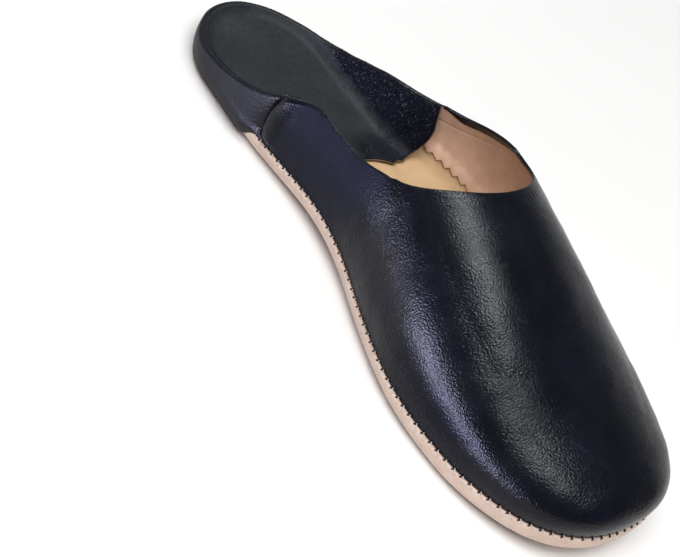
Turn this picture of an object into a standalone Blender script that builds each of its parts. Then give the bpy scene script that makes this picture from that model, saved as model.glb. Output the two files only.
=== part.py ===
"""A babouche slipper, left shoe, standing empty on its sole.

Three pieces: a dished leather outsole, an insole that lies in its recess, and an upper that is one
hollow leather wall. The back of the upper is trodden down: it folds over at the rim and lies on the
insole as a flap. Metres, +Z up, toe towards -Y, the inner side of the foot towards -X, floor at z = 0.
"""
import math

import bpy

# Driving sizes
LENGTH = 0.284
BALL_WIDTH = 0.1030
INSTEP_HEIGHT = 0.0546
SOLE_HEIGHT = 0.0080
SOLE_EDGE_RADIUS = 0.0045
SOLE_WAIST_RADIUS = 0.0070
SOLE_RIM_WIDTH = 0.0028
INSOLE_THICKNESS = 0.0032
UPPER_WALL = 0.0015
CLEARANCE = 0.0003

TOE_SPRING = 0.0070
TOE_SPRING_RUN = 0.070
ARCH_LIFT = 0.0025
TOE_ROUNDING = 0.055
TOE_RISE = 0.012
HEEL_ROUNDING = 0.036

UPPER_INSET = 0.0009
UPPER_FOOT = 0.0005
SIDE_BULGE = 0.0018
SIDE_BULGE_REACH = 0.8
HEEL_BULGE = 0.0032
HEEL_BULGE_HEIGHT = 0.0040
HEEL_BULGE_FROM_RIM = 0.004
HEEL_BULGE_FULL_RIM = 0.010
HEEL_LEAN = 0.8
HEEL_LEAN_REACH = 0.5
FOLD_HOLLOW = 0.0007
FOLD_LOOSENESS = 0.045
FOLD_TURN_LOW = math.radians(40.0)
FOLD_TURN_RISE = 0.010
CREASE_DEPTH = 0.0018
CREASE_WIDTH = 0.0065

FLAP_REACH = 0.0065
FLAP_SLOPE_MIN = 0.004
FLAP_SLOPE_SHARE = 0.45
FLAP_SLOPE_POWER = 2.5

# Places along the shoe, as shares of the length from the toe
THROAT_AT = 0.428
SIDE_COLLAR_AT = 0.526
FOLD_AT = 0.676
CREASE_AT = 0.741
UNDERCUT_START = 0.15
UNDERCUT_FULL = 0.36
ARCH_START = 0.405
ARCH_END = 0.750
FLAP_LEAD_END = 0.860

# Exponents of the rounded sections
SECTION_POWER = 2.4
TOE_POWER = 2.3
HEEL_POWER = 2.0

# Counts of stations and rows
STATIONS = 52
WALL_ROWS = 13
FOLD_STEPS = 3
FLAP_SLOPE_ROWS = 5
SOLE_EDGE_STEPS = 4
COLUMN_SAMPLES = 160
OUTLINE_SAMPLES = 600
ROW_POWER = 1.3
SHARP_ANGLE = math.radians(50.0)

# Sole outline. Columns: along (share of length), half width and spine offset (shares of ball width)
OUTLINE = (
    (0.00, 0.474, -0.035),
    (0.10, 0.473, -0.021),
    (0.20, 0.493, -0.024),
    (0.27, 0.500, -0.025),
    (0.33, 0.490, -0.013),
    (0.40, 0.470, 0.025),
    (0.50, 0.436, 0.085),
    (0.59, 0.408, 0.105),
    (0.68, 0.385, 0.087),
    (0.77, 0.360, 0.055),
    (0.85, 0.331, 0.036),
    (1.00, 0.318, 0.032),
)

# Top of the last. Columns: along (share of length), height above the sole edge (share of instep height)
LAST_TOP = (
    (0.00, 0.270),
    (0.035, 0.303),
    (0.07, 0.386),
    (0.14, 0.507),
    (0.21, 0.670),
    (0.315, 0.874),
    (0.42, 0.973),
    (0.49, 1.000),
    (0.70, 0.963),
    (1.00, 0.634),
)

# Rim behind the throat. Columns: along (share of length), inner side and outer side heights above the
# sole edge (shares of instep height)
RIM = (
    (0.526, 0.680, 0.780),
    (0.580, 0.570, 0.645),
    (0.635, 0.549, 0.520),
    (0.690, 0.560, 0.450),
    (0.730, 0.466, 0.412),
    (0.770, 0.325, 0.345),
    (0.815, 0.225, 0.262),
    (0.880, 0.128, 0.146),
    (0.930, 0.094, 0.100),
    (1.000, 0.084, 0.084),
)

# Colours, roughness
UPPER_COLOUR = (0.012, 0.012, 0.022, 1.0)
UPPER_ROUGHNESS = 0.32
SOLE_COLOUR = (0.62, 0.42, 0.33, 1.0)
SOLE_ROUGHNESS = 0.62
INSOLE_COLOUR = (0.55, 0.36, 0.18, 1.0)
INSOLE_ROUGHNESS = 0.6


def smooth_step(value):
    """Ease from 0 to 1 as value goes from 0 to 1."""
    t = min(max(value, 0.0), 1.0)
    return t * t * (3.0 - 2.0 * t)


def read_table(table, column, along):
    """Read one column of a table at a share of the length, on a smooth curve through its rows."""
    last = len(table) - 1
    along = min(max(along, table[0][0]), table[last][0])
    row = max(i for i in range(last) if table[i][0] <= along or i == 0)

    def slope(i):
        before = max(i - 1, 0)
        after = min(i + 1, last)
        return (table[after][column] - table[before][column]) / (table[after][0] - table[before][0])

    span = table[row + 1][0] - table[row][0]
    t = (along - table[row][0]) / span
    start = table[row][column]
    end = table[row + 1][column]
    return (
        start * (2.0 * t**3 - 3.0 * t**2 + 1.0)
        + end * (3.0 * t**2 - 2.0 * t**3)
        + slope(row) * span * (t**3 - 2.0 * t**2 + t)
        + slope(row + 1) * span * (t**3 - t**2)
    )


def rounding(distance, reach, power):
    """Growth from 0 at an end to 1 at its reach, along a superellipse."""
    t = min(max(1.0 - distance / reach, 0.0), 1.0)
    return (1.0 - t**power) ** (1.0 / power)


def spine(s):
    """Sideways place of the shoe's middle line at s from the toe."""
    return BALL_WIDTH * read_table(OUTLINE, 2, s / LENGTH)


def side_width(s):
    """Half width at s, before toe and heel are rounded."""
    return BALL_WIDTH * read_table(OUTLINE, 1, s / LENGTH)


def half_width(s):
    """Half width of the sole's outline at s."""
    toe = rounding(s, TOE_ROUNDING, TOE_POWER)
    heel = rounding(LENGTH - s, HEEL_ROUNDING, HEEL_POWER)
    return side_width(s) * toe * heel


def lift(s):
    """Height of the sole's underside above the floor: toe spring and arch."""
    toe = TOE_SPRING * max(1.0 - s / TOE_SPRING_RUN, 0.0) ** 2
    start = ARCH_START * LENGTH
    end = ARCH_END * LENGTH
    across = (s - start) / (end - start)
    arch = 0.0
    if 0.0 < across < 1.0:
        arch = ARCH_LIFT * math.sin(math.pi * across) ** 2
    return toe + arch


def edge_height(s):
    """Height of the sole's upper edge."""
    return SOLE_HEIGHT + lift(s)


def edge_radius(s):
    """Radius of the sole's rounded lower edge: wider behind the ball, where the sole is cut under."""
    share = smooth_step((s / LENGTH - UNDERCUT_START) / (UNDERCUT_FULL - UNDERCUT_START))
    return SOLE_EDGE_RADIUS + (SOLE_WAIST_RADIUS - SOLE_EDGE_RADIUS) * share


def last_height(s):
    """Height of the last's top line above the sole's edge."""
    return INSTEP_HEIGHT * read_table(LAST_TOP, 1, s / LENGTH) * rounding(s, TOE_RISE, 2.0)


def rim_height(s, side):
    """Height of the rim above the sole's edge, on the inner (-1) or outer (+1) side."""
    column = 1 if side < 0 else 2
    lowest = 2.0 * (UPPER_WALL + FOLD_HOLLOW + CLEARANCE)
    return max(INSTEP_HEIGHT * read_table(RIM, column, s / LENGTH), lowest)


def fold_radius(s, side):
    """Outer radius of the fold at the rim: a wall and a hollow that is looser where the rim is high."""
    return UPPER_WALL + FOLD_HOLLOW + FOLD_LOOSENESS * (rim_height(s, side) - rim_height(LENGTH, side))


def fold_turn(s, side):
    """Angle that the flap turns down past the fold's top: a right angle where the rim is high."""
    rise = (rim_height(s, side) - rim_height(LENGTH, side)) / FOLD_TURN_RISE
    return FOLD_TURN_LOW + (math.pi / 2.0 - FOLD_TURN_LOW) * smooth_step(rise)


def flap_height():
    """Height of the flap's top above the floor where it lies on the insole."""
    return SOLE_HEIGHT + CLEARANCE + UPPER_WALL


def place(x, s, z):
    """A point of the shoe, from the sideways place, distance from the toe and height."""
    return (x, s - LENGTH / 2.0, z)


def station_list():
    """Distances from the toe, evenly spaced along the outline's edge."""
    samples = OUTLINE_SAMPLES
    stops = [LENGTH * (1.0 - math.cos(math.pi * i / samples)) / 2.0 for i in range(samples + 1)]
    widths = [half_width(s) for s in stops]
    run = [0.0]
    for i in range(samples):
        run.append(run[-1] + math.hypot(stops[i + 1] - stops[i], widths[i + 1] - widths[i]))
    stations = []
    i = 0
    for k in range(STATIONS + 1):
        target = run[-1] * k / STATIONS
        while i < samples - 1 and run[i + 1] < target:
            i += 1
        share = (target - run[i]) / (run[i + 1] - run[i])
        stations.append(stops[i] + share * (stops[i + 1] - stops[i]))
    return stations


def outline_loop(stations):
    """The sole's outline: toe tip, inner side to the heel, then the outer side back. (x, s, side)"""
    inner = [(spine(s) - half_width(s), s, -1) for s in stations[:-1]]
    outer = [(spine(s) + half_width(s), s, 1) for s in reversed(stations[1:])]
    return inner + outer


def outward_normals(loop):
    """Unit normals of the outline in plan, pointing out."""
    normals = []
    for i in range(len(loop)):
        before = loop[i - 1]
        after = loop[(i + 1) % len(loop)]
        along_x = after[0] - before[0]
        along_s = after[1] - before[1]
        size = math.hypot(along_x, along_s)
        normals.append((-along_s / size, along_x / size))
    return normals


def inset_ring(loop, normals, inset, height):
    """The outline moved in by inset, at a height above the lifted sole."""
    ring = []
    for (x, s, _), (nx, ns) in zip(loop, normals):
        new_s = s - ns * inset
        ring.append(place(x - nx * inset, new_s, lift(new_s) + height))
    return ring


def edge_ring(loop, normals, angle):
    """A ring on the sole's rounded lower edge, at an angle from straight down."""
    ring = []
    for (x, s, _), (nx, ns) in zip(loop, normals):
        inset = edge_radius(s) * (1.0 - math.sin(angle))
        new_s = s - ns * inset
        height = edge_radius(s) * (1.0 - math.cos(angle))
        ring.append(place(x - nx * inset, new_s, lift(new_s) + height))
    return ring


def strip_faces(left, right, upward):
    """Faces across a ring, between its two sides. left[0] is right[0] where the strip ends in a tip."""
    faces = []
    for i in range(len(left) - 1):
        face = [left[i], right[i], right[i + 1], left[i + 1]]
        face = [v for n, v in enumerate(face) if v not in face[:n]]
        faces.append(tuple(face) if upward else tuple(reversed(face)))
    return faces


def make_object(name, vertices, faces, colour, roughness, collection):
    """A mesh object with its own material, shaded smooth."""
    mesh = bpy.data.meshes.new(name)
    mesh.from_pydata(vertices, [], faces)
    mesh.shade_smooth()
    mesh.set_sharp_from_angle(angle=SHARP_ANGLE)
    material = bpy.data.materials.new(name + "_material")
    material.use_nodes = True
    shader = material.node_tree.nodes["Principled BSDF"]
    shader.inputs["Base Color"].default_value = colour
    shader.inputs["Roughness"].default_value = roughness
    shader.inputs["Metallic"].default_value = 0.0
    mesh.materials.append(material)
    piece = bpy.data.objects.new(name, mesh)
    collection.objects.link(piece)
    return piece


def ring_solid(name, rings, colour, roughness, collection):
    """A closed solid of stacked rings, from the middle of its underside out, up and in again."""
    count = len(rings[0])
    half = count // 2
    vertices = [point for ring in rings for point in ring]
    faces = []
    for k in range(len(rings) - 1):
        low = k * count
        high = low + count
        for i in range(count):
            j = (i + 1) % count
            faces.append((low + i, high + i, high + j, low + j))
    for first, upward in ((0, False), ((len(rings) - 1) * count, True)):
        left = [first + i for i in range(half + 1)]
        right = [first + (count - i) % count for i in range(half + 1)]
        faces += strip_faces(left, right, upward)
    return make_object(name, vertices, faces, colour, roughness, collection)


def build_outsole(loop, normals, collection):
    """Flat underside, rounded side, upper edge, rim and the recess for the insole."""
    rings = []
    for k in range(SOLE_EDGE_STEPS + 1):
        rings.append(edge_ring(loop, normals, math.pi / 2.0 * k / SOLE_EDGE_STEPS))
    recess = SOLE_HEIGHT - INSOLE_THICKNESS - CLEARANCE
    rings.append(inset_ring(loop, normals, 0.0, SOLE_HEIGHT))
    rings.append(inset_ring(loop, normals, SOLE_RIM_WIDTH, SOLE_HEIGHT))
    rings.append(inset_ring(loop, normals, SOLE_RIM_WIDTH, recess))
    return ring_solid("outsole", rings, SOLE_COLOUR, SOLE_ROUGHNESS, collection)


def build_insole(loop, normals, collection):
    """A flat board that lies in the recess, its top level with the rim."""
    inset = SOLE_RIM_WIDTH + CLEARANCE
    rings = [
        inset_ring(loop, normals, inset, SOLE_HEIGHT - INSOLE_THICKNESS),
        inset_ring(loop, normals, inset, SOLE_HEIGHT),
    ]
    return ring_solid("insole", rings, INSOLE_COLOUR, INSOLE_ROUGHNESS, collection)


def section_share(height, s):
    """Half width at a height of the last's section, as a share of its half width at the sole."""
    rise = min(max(height / last_height(s), 0.0), 1.0)
    return (1.0 - rise**SECTION_POWER) ** (1.0 / SECTION_POWER)


def surface_height(x, s):
    """Height of the last above the sole's edge at a place in plan."""
    across = min(abs(x - spine(s)) / max(half_width(s), 1e-6), 1.0)
    return last_height(s) * (1.0 - across**SECTION_POWER) ** (1.0 / SECTION_POWER)


def side_bulge(height, foot_s):
    """How far a column that stands at foot_s leans out over the sole's edge at a height."""
    behind_toe = (foot_s + 2.0 * TOE_RISE) / LENGTH
    reach = SIDE_BULGE_REACH * INSTEP_HEIGHT * read_table(LAST_TOP, 1, behind_toe)
    return SIDE_BULGE * math.sin(math.pi * min(height / reach, 1.0))


def heel_bulge(height, s, side):
    """How far the trodden wall stands out over the sole's edge, less where the rim is low."""
    rim = rim_height(s, side)
    share = (rim - HEEL_BULGE_FROM_RIM) / (HEEL_BULGE_FULL_RIM - HEEL_BULGE_FROM_RIM)
    upright = rim - CLEARANCE - fold_radius(s, side) - UPPER_FOOT
    swell = math.sin(math.pi / 2.0 * min(height / min(HEEL_BULGE_HEIGHT, upright), 1.0))
    lean = min(height / (HEEL_LEAN_REACH * INSTEP_HEIGHT), 1.0)
    return HEEL_BULGE * min(max(share, 0.0), 1.0) * swell * (1.0 - HEEL_LEAN * lean)


def crease(s):
    """Depth of the crease that runs up the side where the fold starts."""
    offset = (s - CREASE_AT * LENGTH) / CREASE_WIDTH
    return CREASE_DEPTH * math.exp(-offset * offset)


def wall_offset(height, s, side):
    """Distance from the outline to the side wall at a height, positive outwards."""
    heel = smooth_step((s / LENGTH - FOLD_AT) / (ARCH_END - FOLD_AT))
    lean = side_width(s) * (1.0 - section_share(height, s))
    bulge = (1.0 - heel) * side_bulge(height, s) + heel * heel_bulge(height, s, side)
    dent = crease(s) * smooth_step(height / (2.0 * HEEL_BULGE_HEIGHT))
    return bulge - lean - dent - UPPER_INSET


def wall_direction(normal, s, side):
    """Plan direction in which a side wall leans: straight across, turning to the outline's normal."""
    turn = smooth_step((s / LENGTH - SIDE_COLLAR_AT) / (ARCH_END - SIDE_COLLAR_AT))
    x = (1.0 - turn) * side + turn * normal[0]
    s_part = turn * normal[1]
    size = math.hypot(x, s_part)
    return (x / size, s_part / size)


def even_points(path, shares):
    """Points of a path at given shares of its length."""
    run = [0.0]
    for i in range(len(path) - 1):
        run.append(run[-1] + math.dist(path[i], path[i + 1]))
    points = []
    i = 0
    for share in shares:
        target = share * run[-1]
        while i < len(path) - 2 and run[i + 1] < target:
            i += 1
        t = (target - run[i]) / max(run[i + 1] - run[i], 1e-12)
        points.append(tuple(a + (b - a) * t for a, b in zip(path[i], path[i + 1])))
    return points


def row_shares(rows):
    """Shares of a column's length at its rows, closer together near the sole."""
    return [(k / rows) ** ROW_POWER for k in range(rows + 1)]


def collar_front(turn, side):
    """The collar in plan in front of its side stretch; turn is 0 at the throat and 1 at the side."""
    back = SIDE_COLLAR_AT * LENGTH
    front = THROAT_AT * LENGTH
    middle = spine(0.5 * (front + back))
    lean = side_width(back) * section_share(rim_height(back, side), back)
    reach = abs(spine(back) + side * lean - middle)
    angle = math.pi / 2.0 * turn
    return (middle + side * reach * math.sin(angle), back - (back - front) * math.cos(angle))


def vamp_column(base, normal, turn, side):
    """A column from the sole's edge over the vamp to the collar's front."""
    x0, s0, _ = base
    x1, s1 = collar_front(turn, side)
    foot_x = x0 - normal[0] * UPPER_INSET
    foot_s = s0 - normal[1] * UPPER_INSET
    path = [place(foot_x, foot_s, edge_height(s0) + CLEARANCE)]
    for k in range(COLUMN_SAMPLES + 1):
        share = (k / COLUMN_SAMPLES) ** 3
        x = x0 + (x1 - x0) * share
        s = s0 + (s1 - s0) * share
        height = surface_height(x, max(s, 1e-5))
        out = side_bulge(height, s0) - UPPER_INSET
        foot = edge_height(s) + CLEARANCE + UPPER_FOOT
        path.append(place(x + normal[0] * out, s + normal[1] * out, foot + height))
    return even_points(path, row_shares(WALL_ROWS))


def wall_column(base, normal, folded):
    """A column from the sole's edge up the side wall to the rim, and over it where it is folded."""
    x0, s0, side = base
    direction = wall_direction(normal, s0, side)
    radius = fold_radius(s0, side) if folded else 0.0
    foot = edge_height(s0) + CLEARANCE
    top = rim_height(s0, side) - CLEARANCE

    def point(offset, height):
        return place(x0 + direction[0] * offset, s0 + direction[1] * offset, foot + height)

    path = [point(-UPPER_INSET, 0.0)]
    for k in range(COLUMN_SAMPLES + 1):
        height = (top - radius) * k / COLUMN_SAMPLES
        above = max(height - UPPER_FOOT, 0.0)
        path.append(point(wall_offset(above, s0, side), height))
    path = [path[0]] + [p for p in path[1:] if p[2] - path[0][2] > UPPER_FOOT]
    if not folded:
        return even_points(path, row_shares(WALL_ROWS))
    rows = even_points(path, row_shares(WALL_ROWS - FOLD_STEPS))
    offset = wall_offset(top - radius - UPPER_FOOT, s0, side)
    for k in range(1, FOLD_STEPS + 1):
        angle = math.pi / 2.0 * k / FOLD_STEPS
        inward = radius * (1.0 - math.cos(angle))
        rows.append(point(offset - inward, top - radius + radius * math.sin(angle)))
    return rows


def flap_column(base, normal):
    """A column from the rim's fold down to the insole."""
    x0, s0, side = base
    direction = wall_direction(normal, s0, side)
    radius = fold_radius(s0, side)
    foot = edge_height(s0) + CLEARANCE
    top = foot + rim_height(s0, side) - CLEARANCE
    flat = flap_height() + lift(s0)
    offset = wall_offset(rim_height(s0, side) - CLEARANCE - radius - UPPER_FOOT, s0, side)
    turn = fold_turn(s0, side)
    start = radius + radius * math.sin(turn)
    drop = top - radius * (1.0 - math.cos(turn)) - flat
    slope = FLAP_SLOPE_MIN + FLAP_SLOPE_SHARE * drop
    lead = FLAP_REACH * smooth_step((FLAP_LEAD_END - s0 / LENGTH) / (FLAP_LEAD_END - FOLD_AT))
    full = start + slope
    steps = []
    for k in range(1, FOLD_STEPS + 1):
        angle = turn * k / FOLD_STEPS
        steps.append((radius + radius * math.sin(angle), top - radius * (1.0 - math.cos(angle))))
    for k in range(1, FLAP_SLOPE_ROWS + 1):
        t = k / FLAP_SLOPE_ROWS
        steps.append((start + slope * t, flat + drop * (1.0 - t) ** FLAP_SLOPE_POWER))
    rows = []
    for inward, z in steps:
        forward = lead * math.sin(math.pi / 2.0 * (inward - radius) / (full - radius))
        x = x0 + direction[0] * (offset - inward)
        s = s0 + direction[1] * (offset - inward) - forward
        rows.append(place(x, s, max(z, flap_height() + lift(s))))
    return rows


def build_upper(loop, normals, stations, collection):
    """The hollow leather wall: vamp, sides and the folded back, open at the collar and underneath."""
    count = len(loop)
    half = count // 2
    side_start = next(i for i, s in enumerate(stations) if s > SIDE_COLLAR_AT * LENGTH)
    fold_start = next(i for i, s in enumerate(stations) if s > FOLD_AT * LENGTH)
    run = [0.0]
    for i in range(side_start):
        run.append(run[-1] + math.dist(loop[i][:2], loop[i + 1][:2]))

    vertices = []
    for i in range(count):
        near = min(i, count - i)
        folded = near >= fold_start
        side = -1 if i <= half else 1
        if near < side_start:
            rows = vamp_column(loop[i], normals[i], run[near] / run[-1], side)
        else:
            rows = wall_column(loop[i], normals[i], folded)
        vertices += rows

    faces = []
    row_count = WALL_ROWS + 1
    for i in range(count):
        j = (i + 1) % count
        for k in range(WALL_ROWS):
            low = i * row_count + k
            low_next = j * row_count + k
            faces.append((low, low + 1, low_next + 1, low_next))

    flap_rows = FOLD_STEPS + FLAP_SLOPE_ROWS
    flap_index = {}
    for i in range(fold_start, count - fold_start + 1):
        column = [i * row_count + WALL_ROWS]
        for point in flap_column(loop[i], normals[i]):
            column.append(len(vertices))
            vertices.append(point)
        flap_index[i] = column
    for i in range(fold_start, count - fold_start):
        for k in range(flap_rows):
            here = flap_index[i]
            after = flap_index[i + 1]
            faces.append((here[k], here[k + 1], after[k + 1], after[k]))
    left = [flap_index[i][flap_rows] for i in range(fold_start, half + 1)]
    right = [flap_index[count - i][flap_rows] for i in range(fold_start, half + 1)]
    faces += strip_faces(left, right, True)

    upper = make_object("upper", vertices, faces, UPPER_COLOUR, UPPER_ROUGHNESS, collection)
    wall = upper.modifiers.new("wall", "SOLIDIFY")
    wall.thickness = UPPER_WALL
    wall.offset = -1.0
    wall.use_even_offset = True
    return upper


def main():
    for old in list(bpy.data.objects):
        bpy.data.objects.remove(old, do_unlink=True)
    collection = bpy.data.collections.new("babouche_slipper")
    bpy.context.scene.collection.children.link(collection)
    stations = station_list()
    loop = outline_loop(stations)
    normals = outward_normals(loop)
    build_outsole(loop, normals, collection)
    build_insole(loop, normals, collection)
    build_upper(loop, normals, stations, collection)


main()
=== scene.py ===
import math

import bpy
import numpy as np
from mathutils import Matrix, Vector, noise


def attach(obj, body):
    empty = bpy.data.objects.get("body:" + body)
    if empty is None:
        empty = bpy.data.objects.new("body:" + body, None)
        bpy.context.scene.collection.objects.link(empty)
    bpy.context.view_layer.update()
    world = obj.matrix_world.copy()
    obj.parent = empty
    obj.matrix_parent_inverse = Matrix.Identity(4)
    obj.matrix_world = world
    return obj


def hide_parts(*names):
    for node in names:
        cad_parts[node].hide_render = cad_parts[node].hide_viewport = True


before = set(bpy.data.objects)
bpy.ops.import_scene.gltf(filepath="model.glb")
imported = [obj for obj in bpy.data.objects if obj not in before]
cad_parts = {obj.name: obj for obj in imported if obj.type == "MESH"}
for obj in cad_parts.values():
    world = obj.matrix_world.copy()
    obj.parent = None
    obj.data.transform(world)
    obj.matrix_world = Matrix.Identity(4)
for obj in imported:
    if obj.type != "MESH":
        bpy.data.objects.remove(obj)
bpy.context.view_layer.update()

# Looks of the babouche slipper, left shoe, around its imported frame. Metres, floor at z = 0, toe
# towards -Y, inner side towards -X. In all that follows, s is the distance from the toe's tip.

# Sizes of the shoe, as in the part
LENGTH = 0.284
BALL_WIDTH = 0.103
INSTEP_HEIGHT = 0.0546
SOLE_HEIGHT = 0.008
SOLE_EDGE_RADIUS = 0.0045
SOLE_WAIST_RADIUS = 0.007
UNDERCUT_START = 0.15
UNDERCUT_FULL = 0.36
UPPER_WALL = 0.0015
CLEARANCE = 0.0003
TOE_SPRING = 0.007
TOE_SPRING_RUN = 0.07
ARCH_LIFT = 0.0025
TOE_ROUNDING = 0.055
TOE_RISE = 0.012
HEEL_ROUNDING = 0.036
UPPER_INSET = 0.0009
UPPER_FOOT = 0.0005
SIDE_BULGE = 0.0018
SIDE_BULGE_REACH = 0.8
HEEL_LEAN = 0.8
HEEL_LEAN_REACH = 0.5
FOLD_HOLLOW = 0.0007
FOLD_LOOSENESS = 0.045
FOLD_TIGHT = 0.0014
FOLD_TIGHT_RUN = 0.013
FOLD_TURN_LOW = math.radians(40.0)
FOLD_TURN_RISE = 0.01
FLAP_REACH = 0.0065
FLAP_SLOPE_MIN = 0.004
FLAP_SLOPE_SHARE = 0.45
FLAP_SLOPE_POWER = 2.5
THROAT_AT = 0.428
SIDE_COLLAR_AT = 0.526
FOLD_AT = 0.676
ARCH_START = 0.405
ARCH_END = 0.75
FLAP_LEAD_END = 0.86
SECTION_POWER = 2.4
TOE_POWER = 2.3
HEEL_POWER = 2.0
FLAP_FLAT = SOLE_HEIGHT + CLEARANCE + UPPER_WALL

# Sole outline: along (share of length), half width and middle line (shares of ball width)
OUTLINE = ((0.0, 0.474, -0.035), (0.1, 0.473, -0.021), (0.2, 0.493, -0.024),
           (0.27, 0.5, -0.025), (0.33, 0.49, -0.013), (0.4, 0.47, 0.025),
           (0.5, 0.436, 0.085), (0.59, 0.408, 0.105), (0.68, 0.385, 0.087),
           (0.77, 0.36, 0.055), (0.85, 0.331, 0.036), (1.0, 0.318, 0.032))
# Top of the last: along, height (share of instep height)
LAST_TOP = ((0.0, 0.27), (0.035, 0.303), (0.07, 0.386), (0.14, 0.507), (0.21, 0.67), (0.315, 0.874),
            (0.42, 0.973), (0.49, 1.0), (0.7, 0.963), (1.0, 0.634))
# Rim: along, inner and outer heights (shares of instep height)
RIM = ((0.526, 0.68, 0.78), (0.58, 0.57, 0.645), (0.635, 0.549, 0.52), (0.69, 0.56, 0.45),
       (0.73, 0.466, 0.412), (0.77, 0.325, 0.345), (0.815, 0.225, 0.262), (0.88, 0.128, 0.146),
       (0.93, 0.094, 0.1), (1.0, 0.084, 0.084))

# Fineness of the meshes
STATIONS = 204
OUTLINE_SAMPLES = 3000
DENSE_AT = 0.2095
DENSE_RUN = 0.0052
DENSE_SHARE = 2.6
WALL_ROWS = 92
ROW_COUNT = WALL_ROWS + 1
ROW_POWER = 1.25
COLUMN_SAMPLES = 200
COLUMN_POWER = 3
FOLD_STEPS = 8
FLAP_SLOPE_ROWS = 18
FLAP_ACROSS = 40
HEM_ROWS = 7
HEM_TURN_STEPS = 5
LINING_ROWS = 66
SOLE_EDGE_STEPS = 10
SOLE_TOP_STEPS = 4
TABLE_BLUR = 5.0
RIM_BLUR = 2.5

# Below, a pair of numbers under a name says where something starts to grow and over what run. With
# a negative run it fades out.

# The crease where the trodden back starts: height above the sole's edge, distance from the toe
CREASE_LINE = ((0.0, 0.207), (0.0012, 0.209), (0.008, 0.2105), (0.0137, 0.2107), (0.0195, 0.2104),
               (0.0235, 0.2084), (0.0263, 0.206))
CREASE_IN = 0.0024
CREASE_RUN = 0.0075
CREASE_TRENCH = 0.003
CREASE_TRENCH_RUN = 0.0013
CREASE_LIP = 0.0013
CREASE_LIP_AT = 0.003
CREASE_LIP_RUN = 0.005
CREASE_TURN_IN = 0.001
CREASE_TURN_IN_RUN = 0.0005
# Start and run, in height: it grows from the sole, weakens at the rim and ends low on the outer side
CREASE_FOOT = (0.0002, 0.0035)
CREASE_RIM = (0.017, 0.008)
CREASE_RIM_LOSS = 0.6
CREASE_OUTER = (0.003, 0.008)

# The bulging edge low on the trodden wall, and the skirt that hangs from it over the sole
SKIRT_DROP = 0.006
SKIRT_OUT = 0.0001
KEEL_OUT = 0.0027
KEEL_HEIGHT = 0.001
KEEL_POWER = 0.8
KEEL_FULL_RIM = (0.0035, 0.0065)
KEEL_SMALLEST = 0.45
HEEL_FROM = (0.208, 0.015)
HEEL_SECTION_SHARE = 0.45
HEEL_TOP_IN = 0.0005

# Raw front edge of the flap: sideways place, and how far it stands behind a straight line
FLAP_EDGE = ((-0.03, 0.004), (0.0085, 0.0037), (0.014, 0.0036), (0.018, 0.003), (0.0225, 0.0012),
             (0.025, -0.0002), (0.0275, 0.0009), (0.031, 0.0008), (0.038, 0.0027), (0.046, 0.004))
FLAP_EDGE_FADE = 0.09
FLAP_EDGE_GROW = 1.3
FLAP_TUCK_GROW = 1.25
FLAP_WALL_FORWARD = 0.0034
FLAP_WALL_POWER = 1.3
FLAP_EDGE_RADIUS = 0.0003
FLAP_EDGE_SIDES = 8
FLAP_EDGE_UNDER = 0.00072
FLAP_EDGE_AHEAD = 0.00012
FLAP_EDGE_WOBBLE = 0.00018

# Where the flap is glossy: up the outer wall, and in front beyond a slanting line
GLOSS_RAGGED = 0.002
GLOSS_RAGGED_SIZE = (0.009, 0.012, 0.009)
GLOSS_CLIMB = 0.0016
GLOSS_CLIMB_RUN = 0.0035
GLOSS_LINE_X = 0.0075
GLOSS_LINE_S = 0.192
GLOSS_LINE_SLANT = 0.29
GLOSS_LINE_RUN = 0.006
GLOSS_FRONT_END = (0.206, -0.01)
GLOSS_FRONT_SHARE = 0.75
GLOSS_HEEL_END = (0.262, -0.022)
GLOSS_OUTER_HALF = (0.006, 0.006)

# Soft troughs and ridges on the vamp: two ends (x, s, height above the floor), half width, and depth
# (positive: a trough). They fade out over some rows at the sole and at the collar
FOLDS = (
    ((0.01, 0.104, 0.06), (0.03, 0.06, 0.048), 0.01, 0.00045),
    ((-0.02, 0.098, 0.058), (-0.036, 0.06, 0.042), 0.009, -0.00035),
    ((-0.004, 0.1, 0.062), (-0.012, 0.05, 0.046), 0.008, 0.00045),
)
FOLD_END = 0.08
MARK_FOOT_ROWS = 14.0
MARK_RIM_ROWS = 10.0
# Waves in the leather: size along X, Y and Z, seed, octaves, height
SOFT_WAVES = (((0.034, 0.02, 0.026), 1, 2, 0.00032), ((0.015, 0.0065, 0.011), 2, 2, 0.00013))
CRINKLE_WAVES = ((0.006, 0.0042, 0.005), 5, 3, 0.00042)
FLAP_WAVES = ((0.022, 0.03, 0.02), 6, 1, 0.00035)
# Short pleats at the front of the collar, spread around a place on its turn
PLEAT_DEPTH = 0.00013
PLEAT_ROWS = 5
PLEAT_PACE = 66.0
PLEAT_MIDDLE = 0.3
PLEAT_SPREAD = 0.42

# Leather and lining layers, from the outside in
LEATHER = 0.00055
LINING_FROM = 0.00065
LINING = 0.0006
LINING_UNDER_FLAP = 5
LINING_TOP_GAP = 0.0004
LINING_FOOT_IN = 0.001
LINING_FOOT = (0.0012, 0.005)
TOOTH_SHAPE = (0.0, 1.0, 0.45)
TOOTH_FOOT = 0.0013
TOOTH_DEPTH = 0.002
EMBOSS_AT = 0.0078
EMBOSS_WIDTH = 0.00045
EMBOSS_DEPTH = 0.0003
HEM_RADIUS = 0.00068
HEM_WIDTH = 0.0032
HEM_NARROW = 0.0006
HEM_RAGGED = 0.00035
HEM_GROW = 1.15
HEM_GROW_FROM = 0.1
HEM_END_COLUMNS = 7.0

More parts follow.
